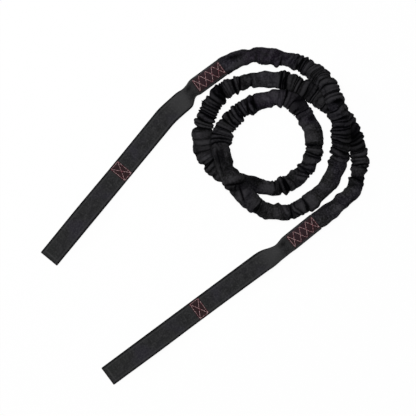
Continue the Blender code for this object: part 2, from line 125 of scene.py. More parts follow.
# Sewing thread, and how far its red shows in the weave round it
THREAD = 0.0006
THREAD_SEAT = 0.0008
THREAD_SIDES = 8
TWIST_PITCH = 0.0012
CROSSES = 4
CROSS_WIDTH = 0.0155
STITCH = 0.0029
STITCH_STEPS = 8
STITCH_DIP = 0.0007
STITCH_HUMP = 0.55
SECOND_PASS_LIFT = 0.00035
DIAGONAL_LIFT = 0.0003
CROSS_STAIN = 0.7
CROSS_REACH = 0.0013
CROSS_GROUND = 0.58
CROSS_MARGINS = (0.0005, 0.0010)
BOX_STAIN = 0.2
BOX_REACH = 0.0010
BOX_GROUND = 0.55
BOX_MARGIN = 0.0006
DIAGONAL_SPREAD = 0.005

# Sleeve
SLEEVE_FLATNESS = 0.80
SLEEVE_DIAMETER = 0.0190
SLEEVE_ROUND = 0.06
SLEEVE_SIDES = 56
SLEEVE_OFF_FLOOR = 0.0001
RING_STEP = 0.0006
LIE_SMOOTH = 0.0095
LIE_CREST = 0.0105
LEAD_OUT = 0.0066
HELD_POINTS = 4
HELD_WIDTH = 0.0084
HELD_HEIGHT = 0.0050
MOUTH_FLARE = (-0.001, 0.003)
LEAST_WIDE = 0.0066
MOST_WIDE = 0.0135
LEAST_HIGH = 0.0059
UPWARD_SHARE = 0.85
END_PIECE = 0.124
WEAVE_PITCH = 0.0006

# Stretches where the sleeve's cloth is more violet: from, to and how much
VIOLET_STRETCHES = [(0.020, 0.095, 0.8), (0.520, 0.620, 0.6)]
VIOLET_FADE = 0.020

# The sleeve's lengthwise seam: a welt with a groove beside it (place and reach), tucked in where
# the cloth is tight
SEAM_AT = 0.5
SEAM_TUCK = 0.5
WELT = (0.0, 0.0009)
WELT_HEIGHT = 0.00045
GROOVE = (0.0016, 0.0006)
GROOVE_DEPTH = 0.0005

# Latex tube, squeezed flat in the sewn ends
TUBE_DIAMETER = 0.0105
TUBE_SIDES = 20
TUBE_RING_SHARE = 6
TUBE_STOP = 0.002
TUBE_FLARE = 0.010
TUBE_HELD_WIDTH = 0.0063
TUBE_HELD_HEIGHT = 0.0034

# Folds of the gathers: their pitch where the sleeve is loose and where it is tight; how far they
# lean, drift and wobble; and their seed, the weakest one's strength, the width of the painted shade
# line and the valley's sharpness
LOBE_PITCH = (0.0260, 0.0096)
LOBE_STRAY = (0.22, 0.24, 0.08)
LOBE_FORM = (21, 0.45, 0.62, 0.95)
FOLD_PITCH = (0.0140, 0.0040)
FOLD_STRAY = (0.50, 0.70, 0.26)
FOLD_FORM = (22, 0.35, 0.95, 0.7)
FOLD_FADE = (0.1, 0.9)
MOST_FOLDS = 1000
FIRST_FOLD = 300
TABLE_MARGIN = 0.05
TABLE_PLACES = 4000

# Heights and depths of the gathered cloth
GATHER_LIFT = 0.0013
LOBE_DEPTH = 0.0033
FOLD_DEPTH = 0.0030
LOBE_SHIFT = 0.0007
PUFF_HEIGHT = 0.0010
PUFF_FULL = 1.6
PUFF_ROUNDNESS = 0.7
LUMP_HEIGHT = 0.0004
CRINKLE_HEIGHT = 0.0010
CRINKLE_SLANT = 0.007
CRINKLE_SIDE = 0.6
DENT_DEPTH = 0.0018
DENT_SHARE = 0.35
SWELL_FOCUS = 1.5
CREASE_WIDTH = 0.0015
CREASE_EVEN = 0.55
LONG_FOLD_WIDTH = 0.0013
LONG_FOLD_FULL = 1.6
LONG_FOLD_STARTS = (-0.15, 0.35)
LONG_FOLD_STOPS = (1.15, 0.65)
RIDGE = (-0.0026, 0.0011)
RIDGE_HEIGHT = 0.0006

# Shades painted on the gathered cloth: how dark its low places are and how light its high ones; for
# slack cloth what a crinkle and a pleat bring, from where on, and the most
LOBE_DARK = 1.5
FOLD_DARK = 1.7
PUFF_EDGE = 0.35
GATHER_DARK = 1.4
CREASE_DARK = 1.4
LONG_FOLD_DARK = 0.8
SLACK_DARK = (1.1, 700.0, 0.1, 0.9)
SLACK_LIGHT = (0.6, 400.0, 0.0, 0.6)
SIDE_DARK = 0.6
SIDE_DARK_REACH = 0.5
TIGHT_DARK = 0.40
CREST_FADE = 2.4
CREST_LEAST = 0.2
LUMP_LIGHT = 0.2
RIDGE_LIGHT = 0.7

# Layers of smooth unevenness: the length of a patch, how many lie round the sleeve, a seed, and the
# most that it comes to either way
LAYERS = {
    "lobe spacing": (0.023, 1, 5, 0.5), "fold spacing": (0.013, 1, 12, 0.6),
    "lean left": (0.040, 1, 10, 1), "lean up": (0.030, 1, 11, 1),
    "drift": (0.012, 3, 6, 1), "wobble": (0.005, 6, 7, 1), "dents": (0.018, 4, 43, 1),
    "puffs": (0.0060, 4, 31, 1), "lumps": (0.0065, 5, 34, 1), "crinkle": (0.0095, 5, 35, 1),
    "waves": (0.0105, 3, 36, 0.0010), "ruffles": (0.0030, 18, 44, 0.00020),
    "pleats": (0.060, 7, 41, 0.0009), "fine pleats": (0.034, 15, 42, 0.0005),
    "seam": (0.16, 1, 51, 1.1), "long folds": (0.009, 1, 52, 0.0007),
    "sway": (0.020, 1, 62, 0.0007), "sag": (0.045, 2, 71, 0.00025),
}
LAYER_LENGTH = 2.0
LAYER_LEAD = 0.1

# Where turns touch: what counts as another turn, how far off it is looked for, from where on turns
# are pressed together, in full at the second number, and how much painted shade the touching cloth gets
OWN_STRETCH = 0.045
NEIGHBOUR_STEP = 0.004
NEIGHBOUR_REACH = 0.04
NEVER_NEAR = 9.0
TURN_ROOM = 0.00005
PRESSED_APART = (0.0229, 0.0222)
PRESSED_OVER = (-0.0045, -0.0033)
PRESSED_FACING = (0.60, 0.85)
TOUCH_DARK = 0.95
TOUCH_APART = (0.0195, 0.0095)
POINTS_AT_ONCE = 20000

# Search for the fold valley in which two pieces of the sleeve meet
VALLEY_SEARCH = 0.012
VALLEY_PLACES = 400
VALLEY_SIDES = 24

# Each sewn end: where its mouth lies, which way its strap leaves and then lies, how far the strap
# jogs and its neck bulges to the side, where that has settled, and where it is pinched and then flat
ENDS = {
    "a": {
        "mouth": (0.021, 0.1776), "leaves": 216.2, "lies": 230.5, "jog": 0.0, "bulge": 0.0039,
        "settled": 0.056, "pinch": 0.0085, "pinch_cup": math.radians(82.0), "flat": 0.028,
    },
    "b": {
        "mouth": (0.133, -0.007), "leaves": 218.8, "lies": 216.6, "jog": -0.0019, "bulge": 0.0020,
        "settled": 0.046, "pinch": 0.0170, "pinch_cup": math.radians(79.0), "flat": 0.046,
    },
}

# All lengths in the lists from here on are in millimetres, and places are along the sleeve from
# mouth A

# The sleeve's route from mouth A to mouth B: x, y and height over the surface
ROUTE = [
    (36.8, 186.4, 1), (47.4, 190, 0), (78, 191.4, 0), (109, 185, 0), (124, 178, 3),
    (138, 168, 10), (148, 155, 17), (155, 140, 18), (162, 113, 17.5), (163.5, 98, 14), (163, 83, 7),
    (161, 66.5, 1), (156, 51.5, 0), (149.3, 38.8, 0), (134, 23.3, 0), (103.3, 6, 0), (72, 8, 1),
    (58.7, 15.8, 7), (45.5, 28.5, 15), (35, 42, 17), (27, 57, 17), (22, 72, 13.5), (20.5, 88, 4),
    (25.5, 105.8, 0), (36.6, 119.5, 0), (66.5, 137, 0), (101, 139.5, 0), (113.3, 131.4, 0),
    (122.4, 119.3, 0), (133, 89.5, 0), (123.5, 58.7, 0), (96.6, 37.8, 0), (79.2, 33.4, 0),
    (63, 36.9, 0), (31, 48, 0), (3, 70, 0), (-1.5, 104, 0), (12, 136.3, 0), (22.7, 149.2, 0),
    (37.4, 157, 0), (72, 163.6, 0), (106.9, 159.8, 0), (136.4, 142.2, 0), (162.5, 124.4, 0),
    (181, 95, 0), (186.5, 65, 0), (179.6, 32.6, 0), (154.4, 8.6, 0),
]

# How tightly the sleeve is gathered, 0 to 1, at places along it
GATHERS = [
    (0, 0.05), (30, 0.1), (45, 0.35), (90, 0.4), (100, 1), (160, 1), (172, 0.55), (185, 0.95),
    (230, 0.9), (245, 0.2), (295, 0.2), (305, 0.65), (330, 0.6), (342, 0.25), (362, 0.25), (372, 0.7),
    (385, 0.3), (400, 0.4), (412, 0.7), (425, 0.12), (452, 0.12), (463, 1), (508, 0.95), (516, 0.6),
    (528, 0.8), (536, 0.2), (556, 0.25), (566, 0.85), (598, 0.85), (607, 0.2), (634, 0.2), (642, 0.95),
    (655, 0.75), (663, 0.45), (672, 0.65), (690, 0.4), (702, 0.95), (715, 0.75), (722, 0.15),
    (755, 0.15), (785, 0.75), (825, 0.7), (836, 0.5), (848, 1), (905, 1), (918, 0.3), (930, 0.45),
    (942, 0.15), (958, 0.2), (968, 0.95), (1030, 0.95), (1050, 0.9), (1115, 0.95), (1122, 0.45),
    (1134, 0.65), (1145, 0.12), (1208, 0.05),
]

# How deep the larger folds are, 0 to 1, where fine ones take over
CALM = [(774, 1), (786, 0.35), (826, 0.35), (842, 1)]

# Single deep creases: place, the side that they cut deepest (degrees from the left), how far they
# lean along the sleeve from side to side and how deep they are
CREASES = [
    (76, 180, 1, 1.8), (97, 180, -1.5, 2.2), (101, 60, 0.5, 1.6), (232.5, 180, 0.5, 2.2),
    (327, 60, 1, 1.6), (371, 30, -1, 2.4), (410, 120, 5, 2.4), (512, 180, 1, 2), (521.5, 120, 3, 2),
    (529, 60, 3, 1.8), (640, 0, -1, 1.8), (672, 10, 1, 2.4), (702, 90, 0.5, 2.6), (706.5, 0, 0.5, 2.2),
    (714, 180, 0.5, 1.8), (800, 0, 1, 2.4), (916, 90, 2, 2), (931, 180, 2, 3.2), (966, 90, 0.5, 2.4),
    (1119, 0, 1, 2.2), (1134, 90, 1.5, 2.4),
]

# Long folds that run along the sleeve, each from one place and side to another (sides in degrees
# from the left), and how deep they are
LONG_FOLDS = [
    ((34, 100), (52, 45), 0.8), ((66, 130), (80, 80), 0.9), ((84, 110), (92, 50), 0.8),
    ((242, 120), (253, 50), 0.8), ((386, 50), (410, 118), 2.0), ((402, 50), (411, 97), 1.6),
    ((422, 44), (460, 62), 1.6), ((444, 104), (466, 84), 0.8), ((455, 82), (465, 52), 1.3),
    ((430, 76), (444, 92), 0.7), ((728, 70), (758, 110), 0.8),
]

# Where another turn shades the sleeve: place, the side that is darkest (degrees from the left), how
# far the shade reaches and how dark it is
SHADES = [
    (205, 10, 28, 0.6), (404, 110, 10, 0.5), (585, 30, 16, 0.8), (744, 90, 32, 0.55),
    (880, 170, 28, 0.6), (1003, 140, 12, 0.6), (1080, 118, 32, 0.92),
]

# Single bulges and dents of the sleeve's two sides: place, how far out, and half their length
SWELLS = {
    "left": [
        (18, -0.9, 12), (45, 1.9, 14), (80, -1.2, 14), (98, -1.8, 5), (113, -2.2, 5), (138, -3, 5),
        (155, -2.2, 8), (170, -1.4, 10), (240, -1.2, 6), (270, 1.1, 14), (297, 1, 5), (310, -1.8, 5),
        (344, -1.7, 7), (355, 1.3, 4), (365, -1.3, 5), (386, 1.3, 8), (414, 1.4, 9), (471, 2.2, 12),
        (487, -1.2, 4), (492, 1, 4), (528, 1.3, 8), (544, -1.6, 7), (555, 1.8, 5), (578, 2, 16),
        (592, -0.6, 5), (622, 1.2, 10), (643, -2.2, 4), (658, -2.2, 6), (667, 1.2, 3), (677, -1.8, 4),
        (703, 2.4, 4), (717, 1.3, 6), (730, 0.9, 6), (782, 1.5, 8), (802, -2.6, 4), (811, -1.4, 5),
        (826, -1.4, 5), (844, -3.2, 5), (857, -1.3, 4), (871, 3, 4), (882, -2.6, 4), (892, 1.2, 4),
        (912, 1.5, 4), (958, -1.9, 12), (977, -2.4, 3), (990, -2.4, 5), (1001, 1.5, 9), (1055, -2, 6),
        (1070, -1.2, 8), (1077, -1.8, 4), (1087, -1.4, 4), (1105, 1, 5), (1122, 1.4, 3),
        (1128, -1.2, 4), (1175, -1.4, 10), (1200, 0.8, 6),
    ],
    "right": [
        (7, 1.5, 10), (40, -2, 10), (71, 2.7, 9), (90, 1.5, 6), (99, -1.8, 4), (104, 1.1, 4),
        (118, -1, 4), (127, 1.3, 8), (183, 3, 7), (193, -1.2, 4), (201, 2, 6), (221, -2.3, 9),
        (233, -2.2, 4), (244, 3, 6), (270, 0.8, 12), (297, 0.9, 8), (312, -0.8, 4), (343, 3, 7),
        (365, -1, 10), (378, 0.9, 4), (430, -2.6, 7), (460, -2.4, 6), (484, -2.6, 6), (502, 1.2, 4),
        (514, -2, 5), (525, 1.6, 6), (542, 0.8, 5), (556, -2.4, 7), (570, -1.8, 6), (581, 0.8, 5),
        (592, 1, 3), (606, 1.6, 6), (619, -1.3, 6), (637, 2, 8), (655, 1.3, 8), (672, 2.6, 4),
        (686, 0.7, 5), (696, -1.6, 5), (703, 1.8, 3), (709, -1.2, 4), (727, -0.9, 4), (760, -1, 6),
        (835, 2.2, 14), (862, 2.4, 4), (872, 1, 10), (888, 1.3, 4), (902, -1, 3), (910, 2.8, 6),
        (927, -1.6, 4), (951, 1.4, 7), (992, 2.2, 22), (1010, 0.8, 5), (1027, 1.3, 6), (1040, 3, 6),
        (1113, -2.4, 4), (1123, 1.6, 3), (1135, 1.9, 5), (1148, -0.8, 6), (1165, 1.8, 10),
        (1200, -0.6, 6),
    ],
}

# Half widths of the sleeve at places along it
WIDTHS = [
    (0, 10.6), (12, 10.9), (30, 9.8), (42, 8.9), (55, 10.2), (70, 10), (85, 8.9), (105, 10.8),
    (120, 10.4), (150, 10.6), (240, 10.9), (255, 9.9), (280, 9.3), (300, 10.6), (315, 9.5), (330, 9.2),
    (345, 9.5), (375, 10.3), (390, 10.9), (415, 12), (430, 10.9), (445, 10.3), (460, 11.2),
    (475, 11.6), (500, 10.8), (520, 9.9), (535, 10.8), (550, 10.2), (570, 11), (585, 10.9), (600, 10),
    (625, 10.8), (660, 9.6), (700, 10.3), (720, 9), (740, 9.5), (800, 10.3), (820, 11.1), (835, 11.1),
    (860, 11.2), (875, 10.1), (885, 11.2), (900, 9.9), (930, 9.1), (950, 9.6), (970, 10.6),
    (1000, 10.3), (1020, 10.7), (1060, 10), (1100, 10.3), (1115, 11), (1127, 8.8), (1140, 9.4),
    (1170, 9.7), (1190, 10.4), (1208, 10.6),
]


# Camera, light and floor

def placed(name, data):
    """An object with this data, in the scene."""
    thing = bpy.data.objects.new(name, data)
    bpy.context.collection.objects.link(thing)
    return thing


def place_camera():
    lens = bpy.data.cameras.new("camera")
    lens.sensor_width = SENSOR
    lens.lens = SENSOR * CAMERA_HEIGHT / VIEW_WIDTH
    lens.clip_end = CAMERA_REACH
    camera = placed("camera", lens)
    camera.location = (*VIEW_CENTRE, CAMERA_HEIGHT)
    bpy.context.scene.camera = camera


def place_lamp(name, place, size, power):
    lamp = bpy.data.lights.new(name, "AREA")
    lamp.shape = "DISK"
    lamp.size = size
    lamp.energy = power
    thing = placed(name, lamp)
    thing.location = place
    aim = -thing.location
    thing.rotation_mode = "QUATERNION"
    thing.rotation_quaternion = aim.to_track_quat("-Z", "Y")


def light_the_studio():
    world = bpy.data.worlds.new("studio")
    world.use_nodes = True
    sky = world.node_tree.nodes["Background"]
    sky.inputs["Color"].default_value = WHITE
    sky.inputs["Strength"].default_value = SKY_LIGHT
    bpy.context.scene.world = world
    for lamp in LAMPS:
        place_lamp(*lamp)


def flat_grid(name, across, along, size):
    bm = bmesh.new()
    bmesh.ops.create_grid(bm, x_segments=across, y_segments=along, size=size)
    mesh = bpy.data.meshes.new(name)
    bm.to_mesh(mesh)
    bm.free()
    return mesh


def lay_floor():
    mesh = flat_grid("floor", 1, 1, FLOOR_REACH)
    for corner in mesh.vertices:
        corner.co.z = -FLOOR_DROP
    mesh.materials.append(floor_finish())
    floor = placed("floor", mesh)


# Materials

class Value:
    """A number that varies over a surface. Sums on it add Math nodes."""

    def __init__(self, finish, socket):
        self.finish = finish
        self.socket = socket

    def sum(self, operation, *terms):
        return self.finish.add("ShaderNodeMath", {"operation": operation}, dict(enumerate(terms)))

    def __add__(self, other):
        return self.sum("ADD", self, other)

    def __radd__(self, other):
        return self.sum("ADD", other, self)

    def __sub__(self, other):
        return self.sum("SUBTRACT", self, other)

    def __rsub__(self, other):
        return self.sum("SUBTRACT", other, self)

    def __mul__(self, other):
        return self.sum("MULTIPLY", self, other)

    def __rmul__(self, other):
        return self.sum("MULTIPLY", other, self)

    def sine(self):
        return self.sum("SINE", self)

    def clipped(self):
        return self.finish.add("ShaderNodeClamp", {}, {0: self})

    def eased(self, low, high):
        """0 below low, 1 above high, smooth between."""
        settings = {"interpolation_type": "SMOOTHSTEP"}
        return self.finish.add("ShaderNodeMapRange", settings, {0: self, 1: low, 2: high})


class Finish:
    """One material, with the nodes that feed its shader."""

    def __init__(self, name):
        self.material = bpy.data.materials.new(name)
        self.material.use_nodes = True
        self.tree = self.material.node_tree
        self.shader = self.tree.nodes["Principled BSDF"]

    def add(self, kind, settings, inputs, output=0):
        """A node with its settings, then the values or links of its sockets."""
        node = self.tree.nodes.new(kind)
        for name, value in settings.items():
            setattr(node, name, value)
        for key, value in inputs.items():
            if isinstance(value, Value):
                self.tree.links.new(value.socket, node.inputs[key])
            else:
                node.inputs[key].default_value = value
        return Value(self, node.outputs[output])

    def held(self, **constants):
        """Constants on the shader's own sockets."""
        for name, value in constants.items():
            self.shader.inputs[name.replace("_", " ")].default_value = value

    def feed(self, name, value):
        self.tree.links.new(value.socket, self.shader.inputs[name])

    def paint(self, base, *layers):
        """Base colour, and over it layers of other colours, each with its share."""
        base = colour(*base)
        for shade, share in layers:
            inputs = {0: share, 6: base, 7: colour(*shade)}
            base = self.add("ShaderNodeMix", {"data_type": "RGBA"}, inputs, 2)
        self.feed("Base Color", base)

    def painted(self, name):
        """A number kept on the mesh's points."""
        return self.add("ShaderNodeAttribute", {"attribute_name": name}, {}, "Fac")

    def relief(self, height, distance, strength=1.0):
        inputs = {"Height": height, "Distance": distance, "Strength": strength}
        self.feed("Normal", self.add("ShaderNodeBump", {}, inputs))


class ClothFinish(Finish):
    """A finish that follows the place on the cloth itself, in metres: across and along."""

    def __init__(self, name):
        super().__init__(name)
        self.place = self.add("ShaderNodeUVMap", {"uv_map": "cloth"}, {})
        self.across = self.add("ShaderNodeSeparateXYZ", {}, {0: self.place}, 0)
        self.along = self.add("ShaderNodeSeparateXYZ", {}, {0: self.place}, 1)

    def noise(self, scale=1.0, detail=2.0, roughness=0.5, across=1.0, along=1.0):
        """Noise of one scale, or of one across and another along."""
        settings = {"operation": "MULTIPLY"}
        place = self.add("ShaderNodeVectorMath", settings, {0: self.place, 1: (across, along, 1.0)})
        inputs = {"Vector": place, "Scale": scale, "Detail": detail, "Roughness": roughness}
        return self.add("ShaderNodeTexNoise", {}, inputs)


def colour(r, g, b):
    """Linear colour from the 0 to 255 values that a picture shows."""
    def linear(c):
        c = c / 255.0
        return c / 12.92 if c <= 0.04045 else ((c + 0.055) / 1.055) ** 2.4
    return (linear(r), linear(g), linear(b), 1.0)


def floor_finish():
    """White floor that glows where the camera sees it, directly, in a reflection or through a piece."""
    finish = Finish("white floor")
    finish.held(Base_Color=FLOOR_COLOUR, Roughness=0.9, Specular_IOR_Level=0.0)
    kinds = ("Camera", "Glossy", "Transmission")
    camera, glossy, through = [
        finish.add("ShaderNodeLightPath", {}, {}, f"Is {kind} Ray") for kind in kinds
    ]
    seen = (camera + glossy + through).clipped()
    shaded = Value(finish, finish.shader.outputs[0])
    glow = finish.add("ShaderNodeEmission", {}, {"Color": WHITE, "Strength": 1.0})
    mix = finish.add("ShaderNodeMixShader", {}, {0: seen * FLOOR_GLOW, 1: shaded, 2: glow})
    finish.tree.links.new(mix.socket, finish.tree.nodes["Material Output"].inputs["Surface"])
    return finish.material


def webbing_finish():
    """Near-black woven webbing: ribs across it, warp threads along it, painted shade at its edges and
    bend, painted highlight lines, red by threads.
    """
    finish = ClothFinish("black webbing")
    ribs = (finish.along * (math.tau / RIB_PITCH)).sine()
    warp = (finish.across * (math.tau / WARP_PITCH)).sine()
    mottle = finish.noise(scale=140.0, detail=3.0)
    drift = finish.noise(scale=26.0)
    fibre = finish.noise(across=2600.0, along=500.0)
    speck = finish.noise(scale=480.0, roughness=0.6)
    # Painted shade at the edges, the bend and the pinch, uneven along them
    edge_shade = finish.painted("edge") * (0.7 + finish.noise(scale=330.0, detail=1.0) * 0.6)
    finish.paint(
        (29, 29, 30),
        ((43, 43, 44), mottle.eased(0.25, 0.75)),
        ((43, 41, 50), drift.eased(0.48, 0.68) * 0.6),
        ((37, 38, 37), (1.0 - drift).eased(0.50, 0.70) * 0.6),
        ((64, 64, 64), speck.eased(0.48, 0.76) * 0.5),
        ((18, 18, 19), (1.0 - speck).eased(0.48, 0.76) * 0.5),
        # Painted highlights: light lines by the edges and the end, and the opened ply past the neck
        ((60, 60, 61), finish.painted("pale") * 0.55),
        ((4, 4, 5), edge_shade),
        ((44, 14, 19), finish.painted("stitched")),
    )
    finish.feed("Roughness", 0.72 + fibre * 0.18)
    finish.held(Specular_IOR_Level=0.10, Sheen_Weight=0.03, Sheen_Roughness=0.5)
    finish.relief(ribs * 0.5 + warp * 0.22 + ribs * warp * 0.25 + fibre * 0.5, 0.00025, 0.8)
    return finish.material


def sleeve_finish():
    """Near-black woven sleeve cloth with a violet cast, painted shade in its folds and painted
    highlights on its crests.
    """
    finish = ClothFinish("black sleeve cloth")
    weft = (finish.along * (math.tau / WEAVE_PITCH)).sine()
    warp = (finish.across * (math.tau / WEAVE_PITCH)).sine()
    cast = finish.noise(scale=22.0)
    mottle = finish.noise(scale=260.0, detail=3.0)
    fibre = finish.noise(across=1800.0, along=1800.0)
    speck = finish.noise(scale=430.0, roughness=0.7)
    painted_shade = finish.painted("painted_shade")
    violet = []
    for near, far, most in VIOLET_STRETCHES:
        begun = finish.along.eased(near, near + VIOLET_FADE)
        over = finish.along.eased(far - VIOLET_FADE, far)
        violet.append(((38, 28, 45), begun * (1.0 - over) * mottle.eased(0.25, 0.65) * most))
    finish.paint(
        (31, 29, 36),
        ((31, 31, 30), cast.eased(0.38, 0.58)),
        *violet,
        ((66, 64, 70), speck.eased(0.46, 0.70) * 0.6),
        ((6, 6, 8), (1.0 - speck).eased(0.46, 0.70) * 0.75),
        # Painted highlights on the crests, with lighter mottle of the cloth's own tone
        ((62, 61, 64), finish.painted("painted_highlight") * 0.85 + mottle.eased(0.45, 0.8) * 0.30),
        # Painted shade in the folds, on the sides and where other turns touch or shade the cloth
        ((0, 0, 1), painted_shade),
    )
    finish.feed("Roughness", 0.66 + fibre * 0.2 + painted_shade * 0.1)
    finish.held(Specular_IOR_Level=0.02, Sheen_Weight=0.01, Sheen_Roughness=0.45)
    finish.relief(weft * warp * 0.4 + fibre * 0.6 + mottle * 0.8, 0.0002, 0.7)
    return finish.material


def thread_finish():
    """Dull red twisted thread, with pale patches of painted highlight and painted shade in its twist.
    """
    finish = ClothFinish("red thread")
    twist = (finish.along * (math.tau / TWIST_PITCH) + finish.across * (2.0 / THREAD)).sine()
    fuzz = finish.noise(across=3000.0, along=3000.0)
    patch = finish.noise(scale=350.0)
    # Pale patches are painted highlights; the darker red along the twist is painted shade in its
    # grooves
    finish.paint(
        (112, 46, 58),
        ((192, 168, 168), patch.eased(0.36, 0.66)),
        ((98, 44, 52), (0.5 - twist * 0.5) * 0.45),
    )
    finish.feed("Roughness", 0.5 + fuzz * 0.3)
    finish.held(Sheen_Weight=0.1)
    finish.relief(twist + fuzz * 0.4, 0.0001, 0.8)
    return finish.material


def latex_finish():
    """Amber latex with faint bloom and drawn marks along it."""
    finish = ClothFinish("amber latex")
    bloom = finish.noise(scale=90.0, detail=4.0)
    drawn = finish.noise(across=900.0, along=30.0)
    finish.paint((186, 140, 84), ((206, 170, 120), bloom))
    finish.feed("Roughness", 0.34 + drawn * 0.22)
    finish.relief(drawn * 0.6 + bloom * 0.4, 0.0001, 0.5)
    return finish.material


# Curves and noise that the shapes are made with

def smooth(t):
    t = np.clip(t, 0.0, 1.0)
    return t * t * (3.0 - 2.0 * t)


def eased(x, low, high):
    """0 at low, 1 at high, smooth between; low may be the larger one."""
    return smooth((x - low) / (high - low))


def bell(x, middle, reach):
    return np.exp(-((x - middle) / reach) ** 2)


def unit(vectors):
    return vectors / np.linalg.norm(vectors, axis=1)[:, None]


def along_keys(keys, x):
    """Eased value at x between (place, value) pairs in order."""
    places = np.array([k[0] for k in keys])
    values = np.array([k[1] for k in keys])
    x = np.clip(np.asarray(x, float), places[0], places[-1])
    k = np.clip(np.searchsorted(places, x) - 1, 0, len(keys) - 2)
    t = smooth((x - places[k]) / (places[k + 1] - places[k]))
    return values[k] + (values[k + 1] - values[k]) * t


def layer(name, along, angle=0.0):
    """Smooth noise along a tube, closed round it."""
    cell, around, seed, most = LAYERS[name]
    rng = np.random.RandomState(seed)
    rows = int(LAYER_LENGTH / cell)
    lattice = rng.uniform(-1.0, 1.0, (rows, around))
    x = (along + LAYER_LEAD) / cell
    y = (angle / math.tau) % 1.0 * around
    i = np.clip(np.floor(x).astype(int), 0, rows - 2)
    j = np.floor(y).astype(int) % around
    fx = smooth(x - i)
    fy = smooth(y - np.floor(y))
    near = lattice[i, j] * (1 - fy) + lattice[i, (j + 1) % around] * fy
    far = lattice[i + 1, j] * (1 - fy) + lattice[i + 1, (j + 1) % around] * fy
    return (near * (1 - fx) + far * fx) * most


def running_lengths(points):
    return np.concatenate([[0.0], np.cumsum(np.linalg.norm(np.diff(points, axis=0), axis=1))])


def heading(degrees):
    a = math.radians(degrees)
    return np.array([math.cos(a), math.sin(a)])


# A grid bent round into a tube

def tube(name, sides, rings, shape, finish, capped=False):
    """A tube whose points shape(turn, way) gives, for turns and ways from 0 to 1.

    shape returns the points, the cloth's own place (across, along) and painted numbers.
    """
    mesh = flat_grid(name, sides, rings - 1, 0.5)
    flat = np.zeros(len(mesh.vertices) * 3, np.float32)
    mesh.vertices.foreach_get("co", flat)
    turn, way, _ = flat.reshape(-1, 3).astype(float).T + 0.5
    points, cloth, painted = shape(turn, way)
    mesh.vertices.foreach_set("co", points.astype(np.float32).ravel())
    corners = np.zeros(len(mesh.loops), np.int32)
    mesh.loops.foreach_get("vertex_index", corners)
    uv_map = mesh.uv_layers.new(name="cloth")
    uv_map.data.foreach_set("uv", cloth[corners].astype(np.float32).ravel())
    for title, values in painted.items():
        attribute = mesh.attributes.new(title, "FLOAT", "POINT")
        attribute.data.foreach_set("value", values.astype(np.float32))
    bm = bmesh.new()
    bm.from_mesh(mesh)
    rim = [v for v in bm.verts if v.is_boundary]
    bmesh.ops.remove_doubles(bm, verts=rim, dist=1e-6)
    if capped:
        bmesh.ops.holes_fill(bm, edges=[e for e in bm.edges if e.is_boundary], sides=0)
    bmesh.ops.recalc_face_normals(bm, faces=bm.faces)
    bm.to_mesh(mesh)
    bm.free()
    mesh.shade_smooth()
    mesh.materials.append(finish)
    return placed(name, mesh)


# Straps

def crown(cup):
    """Height of a cupped ply's middle over the line between the two plies' edges."""
    sagitta = WEBBING_WIDTH / 2 / cup * (1.0 - np.cos(cup))
    return sagitta + HALF_PLY * np.cos(cup) + EDGE_GAP / 2


SEWN_CROWN = float(crown(SEWN_CUP))
AXIS_HEIGHT = SEWN_CROWN + HALF_PLY + 2 * CLEARANCE + THREAD_SEAT + SEWN_OFF_FLOOR


def cup_at(end, u):
    """How far a ply is cupped: pinched in at the neck, flat beyond it."""
    keys = [(0.0, SEWN_CUP), (end["pinch"], end["pinch_cup"]), (end["flat"], LEAST_CUP)]
    return np.maximum(along_keys(keys, u), LEAST_CUP)


def ply_height(end, u, upward):
    """Height of a ply's middle over the floor, u past the sewn end."""
    u = np.asarray(u, float)
    neck_crown = float(crown(NECK_CUP))
    lower = along_keys([
        (0.0, AXIS_HEIGHT - SEWN_CROWN),
        (NECK, AXIS_HEIGHT - neck_crown),
        (BOX_PLACE - BOX_FLAT, BOX_LOWER),
        (BOX_PLACE + BOX_FLAT, BOX_LOWER),
        (BOX_PLACE + LIFT_RUN, HALF_PLY),
    ], u)
    upper = along_keys([
        (0.0, AXIS_HEIGHT + SEWN_CROWN),
        (NECK, AXIS_HEIGHT + neck_crown),
        (BOX_PLACE - BOX_FLAT, BOX_UPPER),
        (BOX_PLACE + BOX_FLAT, BOX_UPPER),
        ((BOX_PLACE + STRAP_LENGTH) / 2, LOOP_RISE),
        (STRAP_LENGTH - FOLD_RADIUS, HALF_PLY + 2 * FOLD_RADIUS),
    ], u)
    cupped = u < end["flat"]
    half = np.maximum((upper - lower) / 2, np.where(cupped, crown(cup_at(end, u)), 0.0))
    middle = np.maximum((lower + upper) / 2, np.where(cupped, half + HALF_PLY, 0.0))
    return middle + np.where(upward, half, -half)


def strap_line(end, u):
    """Plan points of a strap's centre line, u past its sewn end, and the directions across it."""
    u = np.asarray(u, float)
    leaves = math.radians(end["leaves"])
    turn = math.radians(end["lies"] - end["leaves"])
    out = heading(end["leaves"])
    base = np.array(end["mouth"]) + (SEWN_LENGTH + np.minimum(u, TURN_START))[..., None] * out
    bent = np.clip(u, TURN_START, TURN_END) - TURN_START
    half_turn = turn * bent / (TURN_END - TURN_START) / 2
    chord = bent * np.sinc(half_turn / math.pi)
    slant = leaves + half_turn
    base = base + chord[..., None] * np.stack([np.cos(slant), np.sin(slant)], -1)
    base = base + np.maximum(0.0, u - TURN_END)[..., None] * heading(end["lies"])
    direction = leaves + 2 * half_turn
    side = np.stack([-np.sin(direction), np.cos(direction)], -1)
    bulge = along_keys([(BULGE_START, 0.0), (BULGE_PLACE, end["bulge"]), (end["settled"], 0.0)], u)
    jog = end["jog"] * smooth(u / TURN_END) + bulge
    return base + side * jog[..., None], side


def on_strap(end, u, v, middle, outward, proud):
    """Points u along and v across a ply, proud of its middle on its outward side (+1 up, -1 down)."""
    base, side = strap_line(end, u)
    radius = WEBBING_WIDTH / 2 / cup_at(end, u)
    angle = v / radius
    across = (radius + proud) * np.sin(angle)
    drop = radius - (radius + proud) * np.cos(angle)
    plan = base + side * across[..., None]
    return np.concatenate([plan, (middle - outward * drop)[..., None]], -1)


